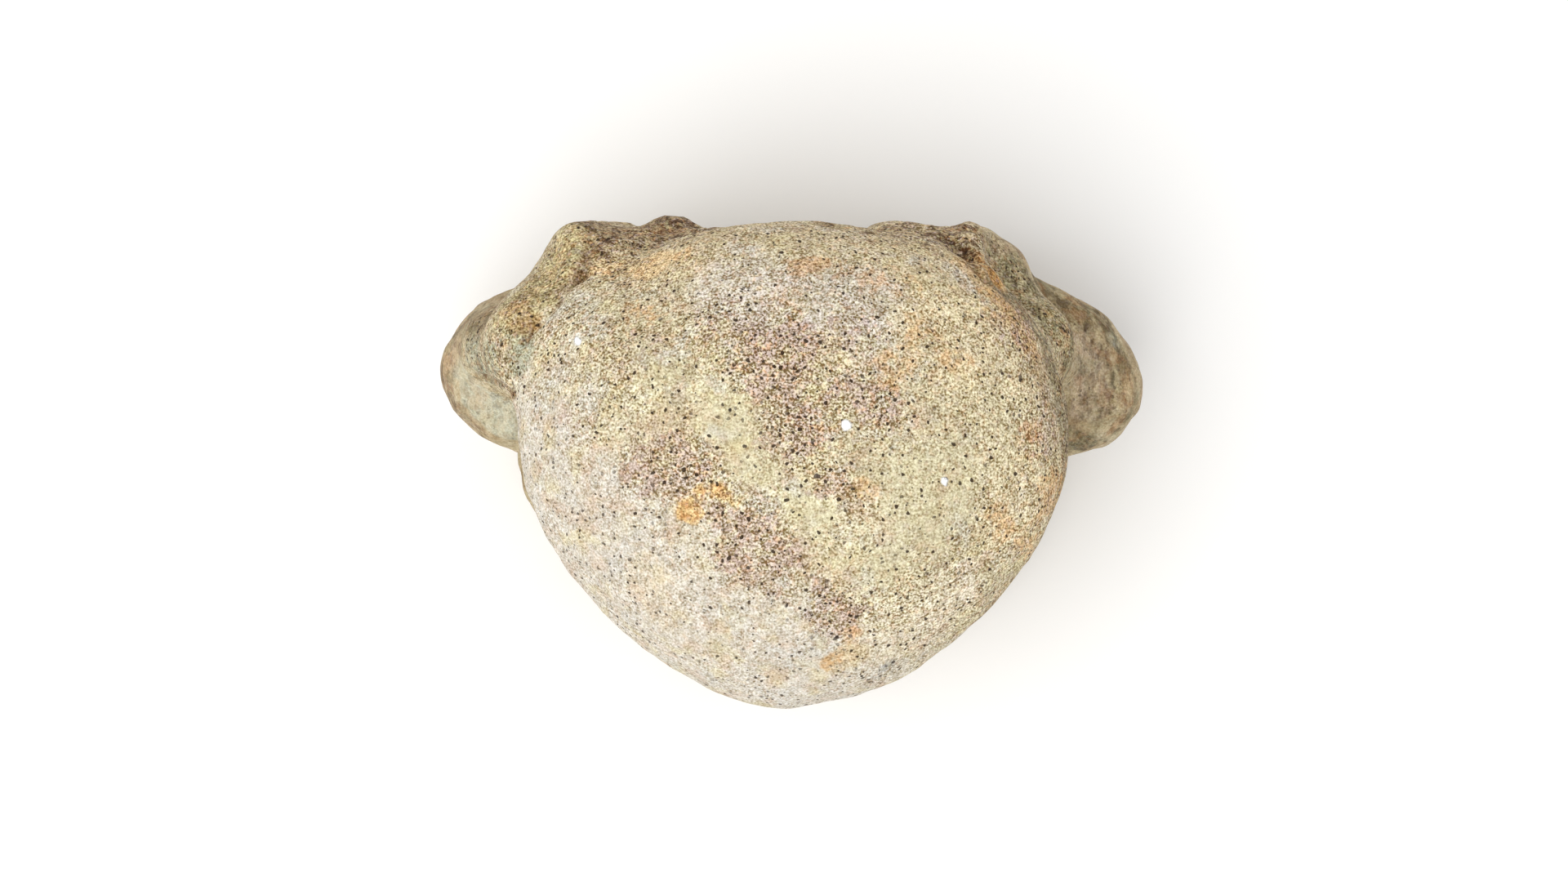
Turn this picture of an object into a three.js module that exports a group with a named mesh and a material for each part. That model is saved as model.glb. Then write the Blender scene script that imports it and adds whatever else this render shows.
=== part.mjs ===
// Fossil trunk vertebra of a large sea lizard: the spool-shaped centrum with its two rib-bearing
// knobs and the stumps of the neural arch, which broke away long ago.
//
// Millimetres, +Z up. The bone lies on the worn rim of its hollow front joint face, so its domed
// rear joint face looks up. +X is the right-hand flank in that view and +Y is the back of the
// animal, where the neural arch stood. The model is drawn about the long axis of the centrum,
// then moved so that the centre of its bounding box stands over the origin.
//
// The whole bone is one signed field, close to a distance in millimetres: negative inside,
// positive outside. A net of points over a grid finds where the field changes sign.

import * as THREE from 'three';
import { ImprovedNoise } from 'three/addons/math/ImprovedNoise.js';

// ---------------------------------------------------------------- driving dimensions

const BODY_LENGTH = 57; // rim of the hollow face to rim of the domed face
const DOME = { height: 14.5, power: 2.7, edgeBlend: 5 }; // power above 2: flat crown, steep edge
const DISH = { depth: 11, share: 0.77 }; // share of the front face's radius that is hollow
const RIM = { wear: 1.5, blend: 7, flatEdge: 0.5 }; // the front rim is worn to a flat ring

// Outlines of the two joint faces about the long axis, from the right flank over the back.
const DOME_OUTLINE = [
  [35.7, 1.1], [34.4, 11], [29.3, 21.6], [20.5, 27.8], [9.3, 30.5], [-1.2, 31.1],
  [-14.1, 29.2], [-22.9, 24], [-31.4, 19.3], [-35.1, 10.6], [-35.5, 1], [-32.2, -9.8],
  [-23.7, -20.8], [-11.2, -29.3], [-0.8, -31.9], [10.4, -29.7], [23.3, -20.5], [32.5, -9.8],
];
const DISH_OUTLINE = [
  [38.6, 2], [35, 16], [26, 26.5], [12, 31.6], [-1, 32.2], [-14, 31.2],
  [-27.5, 26], [-36.5, 15.5], [-39.4, 2], [-33.7, -13], [-22.5, -25], [-9.5, -32],
  [0, -33.4], [9.5, -32], [22.5, -25], [33.5, -13],
];

const WAIST = { flank: 0.22, back: 0.05 }; // how far the walls pull in at mid length, as a share
const NECK = { behindRim: 9.5, depth: 1.4, width: 3.2 }; // shallow groove behind the dome

// Rib-bearing knobs. Each is grown from a few swellings, and its rear is flattened.
const KNOB_BLEND = 6;
const KNOB_FACE = { height: 33.5, edge: 3 };
const LEFT_KNOB = [
  { at: [-37.6, 12.6, 24], size: [10.2, 10.6, 13] },
  { at: [-33, 11, 19], size: [9, 11, 15] },
];
const RIGHT_KNOB = [
  { at: [37.8, 10.4, 24], size: [10.1, 9.2, 13] },
  { at: [34.8, 13, 24], size: [10, 9.6, 13] },
  { at: [32, 11, 19], size: [9, 11, 15] },
];

// Buttresses that tie each knob to its arch stump and to the edge of the dome.
const BUTTRESS_BLEND = 5;
const LEFT_BUTTRESS = [
  { from: [-27.3, 25, 42.5], to: [-33.2, 16.2, 48.5], radius: 6.3 },
  { from: [-32, 14.8, 49.5], to: [-38.2, 15.4, 35.5], radius: 6 },
  { from: [-25.5, 25.5, 33], to: [-32.5, 16.5, 26], radius: 6.5 },
];
const RIGHT_BUTTRESS = [
  { from: [25.6, 24, 39], to: [30.8, 16, 44], radius: 5.6 },
  { from: [30, 14.5, 44], to: [34, 13.5, 32], radius: 5 },
  { from: [23.5, 23.5, 33], to: [31.6, 16.2, 26], radius: 6.5 },
];

// Stumps of the neural arch. Each is a block whose top is a rough break that slopes to the dome.
const STUMP = { corner: 3.5, blend: 4, breakEdge: 1 };
const STUMP_SLOPE = { start: 45, end: 59, drop: 8 };
const LEFT_STUMP = { at: [-20.3, 24.6, 30.5], half: [9, 9, 26], top: 29.9 };
const RIGHT_STUMP = { at: [17.9, 24.8, 30.5], half: [7.1, 9, 26], top: 31.5 };
const KNUCKLE = { at: [-15.8, 30, 40], size: [3.4, 2.6, 4], blend: 2 };

// Floor of the neural canal, a long trough that runs out before either joint face.
const CANAL = { radius: 11, axisHeight: 38.6, blend: 3, fade: 10 };
const CANAL_FRONT = { height: 0, rise: 4 };
const CANAL_REAR = { height: 50, rise: 6 };

// Dents are small hollows with a soft edge, furrows are narrow grooves.
const DENTS = [
  { at: [-27.2, 24.4, 55], radius: 2, depth: 0.9 },
  { at: [22.3, 27.3, 52.5], radius: 2.2, depth: 0.7 },
  { at: [-4.5, 27.4, 27], radius: 3, depth: 1.8 },
  { at: [3.2, 27.4, 30], radius: 2.8, depth: 1.6 },
  { at: [-10, -25.5, 28], radius: 3, depth: 1.8 },
  { at: [9, -26, 31], radius: 2.8, depth: 1.6 },
];
const FURROWS = [
  { from: [-26.3, 29.5, 49], to: [-27.6, 24.3, 55], radius: 1.6, depth: 0.45 },
  { from: [-27.6, 24.3, 55], to: [-33, 17.4, 56.5], radius: 1.4, depth: 0.4 },
  { from: [21.4, 27.7, 52], to: [26.3, 22.3, 56], radius: 1.6, depth: 0.8 },
];

const LUMPS = [
  { wavelength: 24, height: 0.8 },
  { wavelength: 10, height: 0.45 },
  { wavelength: 5, height: 0.2 },
];
const BREAK_LUMPS = { wavelength: 6, height: 1 };

const GRID_CELL = 2.7; // spacing of the net that finds the skin
const GRID_LOW = [-53.3, -39.9, -4.05];
const GRID_CELLS = [40, 30, 30];
const RELAX_ROUNDS = 3;

const BONE = { color: 0xc3b48f, roughness: 0.9, metalness: 0 };

// ---------------------------------------------------------------- field helpers

const noise = new ImprovedNoise();
const { clamp, lerp, smoothstep } = THREE.MathUtils;

function smoothMin(a, b, blend) {
  const share = Math.max(blend - Math.abs(a - b), 0) / blend;
  return Math.min(a, b) - share * share * blend / 4;
}

function smoothMax(a, b, blend) {
  return -smoothMin(-a, -b, blend);
}

function ellipsoid(p, { at, size }) {
  const [x, y, z] = [(p.x - at[0]) / size[0], (p.y - at[1]) / size[1], (p.z - at[2]) / size[2]];
  const reach = Math.hypot(x, y, z);
  const slope = Math.hypot(x / size[0], y / size[1], z / size[2]);
  return slope === 0 ? -Math.min(...size) : reach * (reach - 1) / slope;
}

function roundedBlock(p, { at, half }, corner) {
  const x = Math.abs(p.x - at[0]) - half[0] + corner;
  const y = Math.abs(p.y - at[1]) - half[1] + corner;
  const z = Math.abs(p.z - at[2]) - half[2] + corner;
  const outside = Math.hypot(Math.max(x, 0), Math.max(y, 0), Math.max(z, 0));
  return outside + Math.min(Math.max(x, y, z), 0) - corner;
}

const segment = new THREE.Line3();
const nearest = new THREE.Vector3();

function distanceToSegment(p, { from, to }) {
  segment.start.fromArray(from);
  segment.end.fromArray(to);
  segment.closestPointToPoint(p, true, nearest);
  return nearest.distanceTo(p);
}

// Radius of a closed outline at each whole degree about the long axis, read between degrees.
function polarOutline(points) {
  const corners = points.map(([x, y]) => new THREE.Vector3(x, y, 0));
  const curve = new THREE.CatmullRomCurve3(corners, true, 'centripetal');
  const ring = curve.getPoints(1440).map(({ x, y }) => ({
    degree: (THREE.MathUtils.radToDeg(Math.atan2(y, x)) + 360) % 360,
    radius: Math.hypot(x, y),
  }));
  const radii = Array.from({ length: 360 }, (_, degree) => {
    const gap = (sample) => Math.abs(((sample.degree - degree + 540) % 360) - 180);
    return ring.reduce((best, sample) => (gap(sample) < gap(best) ? sample : best)).radius;
  });
  return (angle) => {
    const degree = (THREE.MathUtils.radToDeg(angle) + 360) % 360;
    const low = Math.floor(degree) % 360;
    return lerp(radii[low], radii[(low + 1) % 360], degree - Math.floor(degree));
  };
}

const domeRadius = polarOutline(DOME_OUTLINE);
const dishRadius = polarOutline(DISH_OUTLINE);

// ---------------------------------------------------------------- the bone

function centrum(p) {
  const angle = Math.atan2(p.y, p.x);
  const out = Math.hypot(p.x, p.y);
  const along = clamp(p.z / BODY_LENGTH, 0, 1);
  const backShare = smoothstep(Math.sin(angle), 0.3, 0.95);
  const waist = lerp(WAIST.flank, WAIST.back, backShare) * Math.sin(Math.PI * along) ** 2;
  const neck = NECK.depth * Math.exp(-(((p.z - BODY_LENGTH + NECK.behindRim) / NECK.width) ** 2));
  const wall = lerp(dishRadius(angle), domeRadius(angle), smoothstep(along, 0, 1));
  const side = out - wall * (1 - waist) + neck;

  const domeShare = out / domeRadius(angle);
  const crown = BODY_LENGTH + DOME.height * (1 - domeShare ** DOME.power);
  const cap = (p.z - crown) * 0.85;

  const dishShare = out / (DISH.share * dishRadius(angle));
  const floor = Math.max(1 - dishShare ** 2, 0) * (DISH.depth + RIM.wear) - RIM.wear;
  return smoothMax(smoothMax(side, cap, DOME.edgeBlend), floor - p.z, RIM.blend);
}

function knob(p, swellings) {
  const fields = swellings.map((swelling) => ellipsoid(p, swelling));
  const round = fields.reduce((field, other) => smoothMin(field, other, KNOB_FACE.edge));
  return smoothMax(round, p.z - KNOB_FACE.height, KNOB_FACE.edge);
}

function buttress(p, struts) {
  const fields = struts.map((strut) => distanceToSegment(p, strut) - strut.radius);
  return fields.reduce((field, other) => smoothMin(field, other, BUTTRESS_BLEND));
}

function stump(p, block) {
  const { wavelength, height } = BREAK_LUMPS;
  const roughness = height * noise.noise(p.x / wavelength, p.y / wavelength, p.z / wavelength);
  const slope = smoothstep(p.z, STUMP_SLOPE.start, STUMP_SLOPE.end) * STUMP_SLOPE.drop;
  const broken = p.y - block.top - roughness + slope;
  return smoothMax(roundedBlock(p, block, STUMP.corner), broken, STUMP.breakEdge);
}

function canal(p) {
  const front = 1 - smoothstep(p.z, CANAL_FRONT.height, CANAL_FRONT.height + CANAL.fade);
  const rear = smoothstep(p.z, CANAL_REAR.height - CANAL.fade, CANAL_REAR.height);
  const rise = front * CANAL_FRONT.rise + rear * CANAL_REAR.rise;
  return CANAL.radius - rise - Math.hypot(p.x, p.y - CANAL.axisHeight);
}

function lumps(p) {
  return LUMPS.reduce((sum, { wavelength, height }) => {
    const value = noise.noise(p.x / wavelength + 7.3, p.y / wavelength + 2.9, p.z / wavelength + 5.1);
    return sum + height * value;
  }, 0);
}

function hollows(p) {
  const fade = (distance, { radius, depth }) => depth * Math.exp(-((distance / radius) ** 2));
  let sum = 0;
  for (const dent of DENTS) {
    sum += fade(Math.hypot(p.x - dent.at[0], p.y - dent.at[1], p.z - dent.at[2]), dent);
  }
  for (const furrow of FURROWS) {
    sum += fade(distanceToSegment(p, furrow), furrow);
  }
  return sum;
}

function bone(p) {
  let field = centrum(p);
  field = smoothMin(field, knob(p, LEFT_KNOB), KNOB_BLEND);
  field = smoothMin(field, knob(p, RIGHT_KNOB), KNOB_BLEND);
  field = smoothMin(field, buttress(p, LEFT_BUTTRESS), BUTTRESS_BLEND);
  field = smoothMin(field, buttress(p, RIGHT_BUTTRESS), BUTTRESS_BLEND);
  field = smoothMin(field, stump(p, LEFT_STUMP), STUMP.blend);
  field = smoothMin(field, stump(p, RIGHT_STUMP), STUMP.blend);
  field = smoothMin(field, ellipsoid(p, KNUCKLE), KNUCKLE.blend);
  field = smoothMax(field, canal(p), CANAL.blend);
  return smoothMax(field + lumps(p) + hollows(p), -p.z, RIM.flatEdge);
}

// ---------------------------------------------------------------- skin

// The eight corners of a grid cell, and the twelve pairs of corners that are its edges.
const CORNERS = [0, 1, 2, 3, 4, 5, 6, 7].map((i) => [i & 1, (i >> 1) & 1, (i >> 2) & 1]);
const EDGES = [];
for (let corner = 0; corner < 8; corner += 1) {
  for (const step of [1, 2, 4]) {
    if (!(corner & step)) EDGES.push([corner, corner | step]);
  }
}

// One point in each grid cell that the skin passes through, at the mean of its edge crossings.
// One four-sided face around each grid edge that the skin crosses.
function netOfCells() {
  const [nx, ny, nz] = GRID_CELLS;
  const nodeIndex = (i, j, k) => i + (nx + 1) * (j + (ny + 1) * k);
  const place = (i, j, k) => new THREE.Vector3(i, j, k)
    .multiplyScalar(GRID_CELL)
    .add(new THREE.Vector3(...GRID_LOW));

  const field = new Float64Array((nx + 1) * (ny + 1) * (nz + 1));
  for (let k = 0; k <= nz; k += 1) {
    for (let j = 0; j <= ny; j += 1) {
      for (let i = 0; i <= nx; i += 1) field[nodeIndex(i, j, k)] = bone(place(i, j, k));
    }
  }

  const points = [];
  const pointOfCell = new Map();
  for (let k = 0; k < nz; k += 1) {
    for (let j = 0; j < ny; j += 1) {
      for (let i = 0; i < nx; i += 1) {
        const values = CORNERS.map(([x, y, z]) => field[nodeIndex(i + x, j + y, k + z)]);
        const crossings = EDGES.filter(([a, b]) => (values[a] < 0) !== (values[b] < 0));
        if (crossings.length === 0) continue;
        const mean = new THREE.Vector3();
        for (const [a, b] of crossings) {
          const share = values[a] / (values[a] - values[b]);
          mean.add(new THREE.Vector3(...CORNERS[a]).lerp(new THREE.Vector3(...CORNERS[b]), share));
        }
        mean.divideScalar(crossings.length);
        pointOfCell.set(nodeIndex(i, j, k), points.length);
        points.push(place(i + mean.x, j + mean.y, k + mean.z));
      }
    }
  }

  const quads = [];
  const steps = [[1, 0, 0], [0, 1, 0], [0, 0, 1]];
  for (let k = 1; k < nz; k += 1) {
    for (let j = 1; j < ny; j += 1) {
      for (let i = 1; i < nx; i += 1) {
        const here = field[nodeIndex(i, j, k)] < 0;
        steps.forEach((step, axis) => {
          const there = field[nodeIndex(i + step[0], j + step[1], k + step[2])] < 0;
          if (here === there) return;
          const [u, v] = [steps[(axis + 1) % 3], steps[(axis + 2) % 3]];
          const cell = (a, b) => pointOfCell.get(nodeIndex(
            i - a * u[0] - b * v[0],
            j - a * u[1] - b * v[1],
            k - a * u[2] - b * v[2],
          ));
          const quad = [cell(0, 0), cell(1, 0), cell(1, 1), cell(0, 1)];
          quads.push(here ? quad : quad.reverse());
        });
      }
    }
  }
  return { points, quads };
}

const PROBE = 0.05;

function slopeAt(p) {
  const probe = p.clone();
  const along = (axis) => {
    probe[axis] = p[axis] + PROBE;
    const ahead = bone(probe);
    probe[axis] = p[axis] - PROBE;
    const behind = bone(probe);
    probe[axis] = p[axis];
    return (ahead - behind) / (2 * PROBE);
  };
  return new THREE.Vector3(along('x'), along('y'), along('z'));
}

// Newton steps along the slope of the field bring a point onto the skin.
function settle(p) {
  for (let i = 0; i < 4; i += 1) {
    const slope = slopeAt(p);
    const step = -bone(p) / Math.max(slope.lengthSq(), 0.25);
    p.addScaledVector(slope, clamp(step, -GRID_CELL / 3, GRID_CELL / 3));
  }
}

// Evens out the spacing: each point moves to the mean of its neighbours, then back to the skin.
function relax(points, quads) {
  const sums = points.map(() => new THREE.Vector3());
  const counts = new Float64Array(points.length);
  for (const quad of quads) {
    quad.forEach((index, corner) => {
      sums[index].add(points[quad[(corner + 1) % 4]]);
      counts[index] += 1;
    });
  }
  points.forEach((p, index) => {
    p.lerp(sums[index].divideScalar(counts[index]), 0.5);
    settle(p);
  });
}

function boneGeometry() {
  const { points, quads } = netOfCells();
  points.forEach(settle);
  for (let round = 0; round < RELAX_ROUNDS; round += 1) relax(points, quads);
  const triangles = quads.flatMap(([a, b, c, d]) => {
    const flip = points[b].distanceTo(points[d]) < points[a].distanceTo(points[c]);
    return flip ? [a, b, d, b, c, d] : [a, b, c, a, c, d];
  });
  const geometry = new THREE.BufferGeometry().setFromPoints(points);
  geometry.setIndex(triangles);
  geometry.computeVertexNormals();
  geometry.computeBoundingBox();
  return geometry;
}

const vertebra = new THREE.Mesh(boneGeometry(), new THREE.MeshStandardMaterial(BONE));
vertebra.name = 'vertebra';
const middle = vertebra.geometry.boundingBox.getCenter(new THREE.Vector3());
vertebra.position.set(-middle.x, -middle.y, 0);

const fossil = new THREE.Group();
fossil.add(vertebra);

export default fossil;
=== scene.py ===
"""A fossil reptile vertebra that lies on its hollow front joint face, seen from straight above.

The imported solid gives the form. The shown piece is that solid's own surface, made finer and given
the small relief of weathered bone, with a procedural bone and sediment material.
Lengths are in millimetres until a mesh is made; Blender works in metres.
+X is the right-hand side of the picture, +Y is the back (dorsal side) of the animal, and +Z is the
axis of the bone, up towards the camera.
"""

import bpy
import numpy as np
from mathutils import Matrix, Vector, noise


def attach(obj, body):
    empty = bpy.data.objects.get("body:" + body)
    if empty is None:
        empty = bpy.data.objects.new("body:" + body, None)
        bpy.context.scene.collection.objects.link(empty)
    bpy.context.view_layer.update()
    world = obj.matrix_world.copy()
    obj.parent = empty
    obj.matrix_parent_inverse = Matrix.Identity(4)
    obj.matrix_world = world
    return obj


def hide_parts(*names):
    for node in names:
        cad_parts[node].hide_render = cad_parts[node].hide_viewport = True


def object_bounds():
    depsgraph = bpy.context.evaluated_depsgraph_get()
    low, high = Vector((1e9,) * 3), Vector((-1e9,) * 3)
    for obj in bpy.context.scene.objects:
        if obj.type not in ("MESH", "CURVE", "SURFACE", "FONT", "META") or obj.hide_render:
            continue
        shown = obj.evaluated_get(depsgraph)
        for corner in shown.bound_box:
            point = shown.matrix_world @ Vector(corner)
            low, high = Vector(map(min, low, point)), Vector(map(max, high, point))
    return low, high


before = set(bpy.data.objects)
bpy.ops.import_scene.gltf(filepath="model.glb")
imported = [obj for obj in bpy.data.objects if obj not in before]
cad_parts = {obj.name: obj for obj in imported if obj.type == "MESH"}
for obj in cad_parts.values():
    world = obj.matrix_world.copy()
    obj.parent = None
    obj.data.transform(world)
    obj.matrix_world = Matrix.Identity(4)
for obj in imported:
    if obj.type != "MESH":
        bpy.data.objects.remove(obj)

cad_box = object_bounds()
METRE = 1000.0  # millimetres in a metre
NODE = "vertebra"

# ------------------------------------------------------------------ the surface, made finer

CORNER_STEPS = 1000  # corners that agree to this many steps in a millimetre are joined
SUBDIVISIONS = 2  # each makes four triangles out of one
NO_LENGTH = 1e-12  # keeps a division by a length from failing


def solid_surface(obj):
    """Corner points in mm and the triangles of a CAD node, with equal corners joined."""
    mesh = obj.data
    mesh.calc_loop_triangles()
    points = np.empty(len(mesh.vertices) * 3)
    mesh.vertices.foreach_get("co", points)
    points = points.reshape(-1, 3) * METRE
    corners = np.empty(len(mesh.loop_triangles) * 3, int)
    mesh.loop_triangles.foreach_get("vertices", corners)
    steps = np.round(points * CORNER_STEPS).astype(int)
    _, first, joined = np.unique(steps, axis=0, return_index=True, return_inverse=True)
    return points[first], joined.ravel()[corners].reshape(-1, 3)


def neighbours(count, faces):
    """The edges of a closed mesh, the number of each half edge's edge, and each point's valence."""
    half = np.concatenate([faces[:, [0, 1]], faces[:, [1, 2]], faces[:, [2, 0]]])
    edges, number = np.unique(np.sort(half, axis=1), axis=0, return_inverse=True)
    valence = np.bincount(edges.ravel(), minlength=count)
    return edges, number.ravel(), valence


def neighbour_sum(points, edges):
    """For each point, the sum of the points that share an edge with it."""
    total = np.zeros_like(points)
    np.add.at(total, edges[:, 0], points[edges[:, 1]])
    np.add.at(total, edges[:, 1], points[edges[:, 0]])
    return total


def loop_weight(valence):
    """The weight of each neighbour in Loop's rule for a corner point."""
    return (5 / 8 - (3 / 8 + np.cos(2 * np.pi / valence) / 4) ** 2) / valence


def control_points(points, faces, rounds=5):
    """The control points whose smooth Loop surface runs through the given points."""
    edges, _, valence = neighbours(len(points), faces)
    weight = loop_weight(valence)
    share = 1 / (valence + 3 / (8 * weight))
    control = points.copy()
    for _ in range(rounds):
        pulled = share[:, None] * neighbour_sum(control, edges)
        control += points - (control * (1 - valence * share)[:, None] + pulled)
    return control


def subdivide(points, faces):
    """One round of Loop subdivision of a closed mesh."""
    edges, number, valence = neighbours(len(points), faces)
    opposite = np.zeros((len(edges), 3))
    np.add.at(opposite, number, points[np.concatenate([faces[:, 2], faces[:, 0], faces[:, 1]])])
    on_edges = 3 / 8 * (points[edges[:, 0]] + points[edges[:, 1]]) + opposite / 8
    weight = loop_weight(valence)
    pulled = weight[:, None] * neighbour_sum(points, edges)
    moved = points * (1 - valence * weight)[:, None] + pulled
    ab, bc, ca = (number + len(points)).reshape(3, -1)
    a, b, c = faces.T
    quarters = ((a, ab, ca), (ab, b, bc), (ca, bc, c), (ab, bc, ca))
    finer = np.concatenate([np.stack(quarter, 1) for quarter in quarters])
    return np.concatenate([moved, on_edges]), finer


def point_normals(points, faces):
    """The unit normal at each point, from the triangles around it."""
    a, b, c = (points[faces[:, k]] for k in range(3))
    across = np.cross(b - a, c - a)
    total = np.zeros_like(points)
    for k in range(3):
        np.add.at(total, faces[:, k], across)
    return total / np.maximum(np.linalg.norm(total, axis=1), NO_LENGTH)[:, None]


# ------------------------------------------------------------------ fields over the surface

# A soft mark covers fully out to the first share of its radius, and ends at the second.
MARK_EDGE = 0.55, 1.25
NO_COVER = 1e-6  # keeps a division by a mark's cover from failing


def ramp(value, low, high):
    """0 below low, 1 above high, and smooth between."""
    t = np.clip((value - low) / (high - low), 0, 1)
    return t * t * (3 - 2 * t)


def waves(points, size, seed):
    """Smooth noise about -1 to 1, with lumps of the given size in mm."""
    shift = Vector((seed * 7.31, seed * 3.17, seed * 5.93))
    return np.array([noise.noise(Vector(p) + shift) for p in points / size])


def cells(points, size, seed):
    """A pattern of cells of a size in mm: 0 at a cell's edge, and up to about 1 at its middle."""
    shift = Vector((seed * 4.13, seed * 8.77, seed * 2.39))
    nearest = np.array([noise.voronoi(Vector(p) + shift)[0][:2] for p in points / size])
    return np.clip((nearest[:, 1] - nearest[:, 0]) * 1.6, 0, 1)


def path_distance(points, path):
    """Distance from each point to a path of straight stretches, or to a single place."""
    best = np.linalg.norm(points - path[0], axis=1)
    for a, b in zip(path, path[1:]):
        a, b = np.array(a, float), np.array(b, float)
        t = np.clip((points - a) @ (b - a) / ((b - a) @ (b - a)), 0, 1)
        best = np.minimum(best, np.linalg.norm(points - a - t[:, None] * (b - a), axis=1))
    return best


def mark_share(points, path, radius, rough):
    """How far a soft mark along a path covers each point; rough warps the mark's edge."""
    return 1 - ramp(path_distance(points, path) / radius + rough, *MARK_EDGE)


def spots(points, marks, rough):
    """The strongest of a list of round soft marks at each point."""
    strongest = np.zeros(len(points))
    for place, radius, strength in marks:
        share = strength * mark_share(points, [place], radius, rough)
        strongest = np.maximum(strongest, share)
    return strongest


def painted(points, marks, rough):
    """The colour of soft marks laid one over another, and how far they cover what is under them."""
    colour = np.zeros((len(points), 4))
    for shown, strength, radius, path in marks:
        share = strength * mark_share(points, path, radius, rough)
        under = colour[:, 3] * (1 - share)
        colour[:, 3] = under + share
        mark = np.array(linear(*shown)[:3])
        mixed = colour[:, :3] * under[:, None] + mark * share[:, None]
        colour[:, :3] = mixed / np.maximum(colour[:, 3:], NO_COVER)
    return colour


def carved(points, grooves, pits):
    """How deep furrows and pits reach into the surface at each point."""
    marks = [*grooves, *(([place], radius, depth) for place, radius, depth in pits)]
    sunken = np.zeros(len(points))
    for path, width, depth in marks:
        sunken += depth * np.exp(-((path_distance(points, path) / width) ** 2))
    return sunken


def hollows(points, faces, normals, rounds):
    """How far each point lies below the smoothed surface, in mm along the normal."""
    edges, _, valence = neighbours(len(points), faces)
    smooth = points
    for _ in range(rounds):
        smooth = (smooth + neighbour_sum(smooth, edges) / valence[:, None]) / 2
    return np.einsum("ij,ij->i", smooth - points, normals)


# ------------------------------------------------------------------ the regions of the bone

# Where one region gives way to the next: from the first of two measures to the second, in mm.
FACE_EDGE = 54.5, 57.5  # z, from the flank to the domed joint face
STUMP_INSIDE = 7.5, 12.0  # |x|, from the neural canal to a broken stump
STUMP_OUTSIDE = 23.5, 28.5  # |x|, from a stump to the buttress beside it
STUMP_FRONT = 1, 8  # z, the front end of the stumps
STUMP_TOP = 27.0, 29.6  # y, from the shoulder to the broken top of a stump
SHOULDER_FOOT = 22.5, 25.5  # y, from the flank to the crumbly shoulder of a stump
SHOULDER_REAR = 56.5, 60  # z, from the shoulder to the joint face
KNOB_SIDE = 36.5, 40.5  # |x|, from the flank to a rib knob
KNOB_REAR = 38, 44  # z, the rear end of the knobs

points, faces = solid_surface(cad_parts[NODE])
points = control_points(points, faces)
for _ in range(SUBDIVISIONS):
    points, faces = subdivide(points, faces)
normals = point_normals(points, faces)
x, y, z = points.T

# Waves of three sizes make the edges between the regions ragged.
wide = waves(points, size=11.0, seed=11)
middle = waves(points, size=5.0, seed=12)
fine = waves(points, size=2.0, seed=13)
ragged_x = np.abs(x) + 1.8 * middle + 0.8 * fine
ragged_y = y + 0.8 * middle + 0.5 * fine
face = ramp(z + 5 * ramp(-0.5 * x - y, 4, 20), *FACE_EDGE)  # it reaches lower at the bottom left
stumps = ramp(ragged_x, *STUMP_INSIDE) * (1 - ramp(ragged_x, *STUMP_OUTSIDE)) * ramp(z, *STUMP_FRONT)
broken = ramp(ragged_y, *STUMP_TOP) * stumps
shoulder = ramp(ragged_y, *SHOULDER_FOOT) * stumps * (1 - broken) * (1 - ramp(z, *SHOULDER_REAR))
knob_x = np.abs(x) + 0.25 * np.maximum(KNOB_REAR[0] - z, 0)  # the knobs spread towards the front
knob = ramp(knob_x, *KNOB_SIDE) * (1 - ramp(z, *KNOB_REAR))
flank = (1 - face) * (1 - broken) * (1 - 0.6 * shoulder)
# What the photo hides: the flank low down, and all of it but the buttresses and the knobs. It is
# more uneven than the rest, up to near the joint face.
hidden = flank * np.maximum(1 - ramp(z, 20, 31), 1 - ramp(np.abs(x) + 0.6 * y, 30, 38))
uneven = hidden * (1 - ramp(z, 38, 48))

# ------------------------------------------------------------------ the relief of weathered bone

# Furrows and creases: the points they pass through, half width, depth.
GROOVES = [
    ([(-26.2, 28.6, 49.5), (-27.0, 23.9, 53.9), (-28.0, 22.8, 54.7)], 0.6, 0.45),
    ([(-28.0, 22.8, 54.7), (-30.2, 19.2, 57.0), (-32.9, 17.1, 56.6), (-34.3, 15.4, 57.2)], 0.55, 0.5),
    ([(-41.4, 11.4, 39), (-39.3, 10.6, 46), (-37.6, 9.8, 51), (-35.6, 8.9, 55)], 0.7, 0.5),
    ([(21.8, 26.6, 53), (23.2, 24.7, 58), (24.8, 23.2, 58.5)], 0.7, 0.7),
    ([(37.6, 19.8, 33), (40.0, 16.2, 34), (41.8, 13.4, 33.6), (42.4, 9.0, 33.2)], 0.7, 0.3),
]
# Pits and vessel openings: place, radius, depth.
PITS = [
    ((-27.2, 24.0, 54.2), 0.7, 0.8),
    ((21.6, 27.6, 51.8), 0.9, 0.8),
    ((23.3, 26.6, 53.2), 0.7, 0.5),
    ((23.6, 28.2, 50.2), 0.6, 0.5),
    ((39.5, 17.9, 34.4), 0.6, 0.3),
    ((-9.8, -25.4, 28.0), 1.3, 1.6),
    ((8.8, -26.0, 31.0), 1.2, 1.5),
    ((-4.2, 27.4, 27.0), 1.3, 1.5),
    ((3.4, 27.4, 30.0), 1.2, 1.4),
    ((30.0, -11.0, 33.0), 0.9, 0.6),
    ((-28.0, -13.0, 25.0), 0.8, 0.6),
    ((-5.7, 2.3, 71.5), 0.5, 0.2),
    ((-7.1, 6.4, 71.1), 0.6, 0.2),
]
sunken = carved(points, GROOVES, PITS)
crumbs = cells(points, size=3.2, seed=6)
# Fibres run along the bone, and fade out at its waist.
fibres = waves(points * (1.0, 1.0, 0.16), 1.9, 21) * ramp(np.abs(z - 29), 6, 24)
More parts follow.
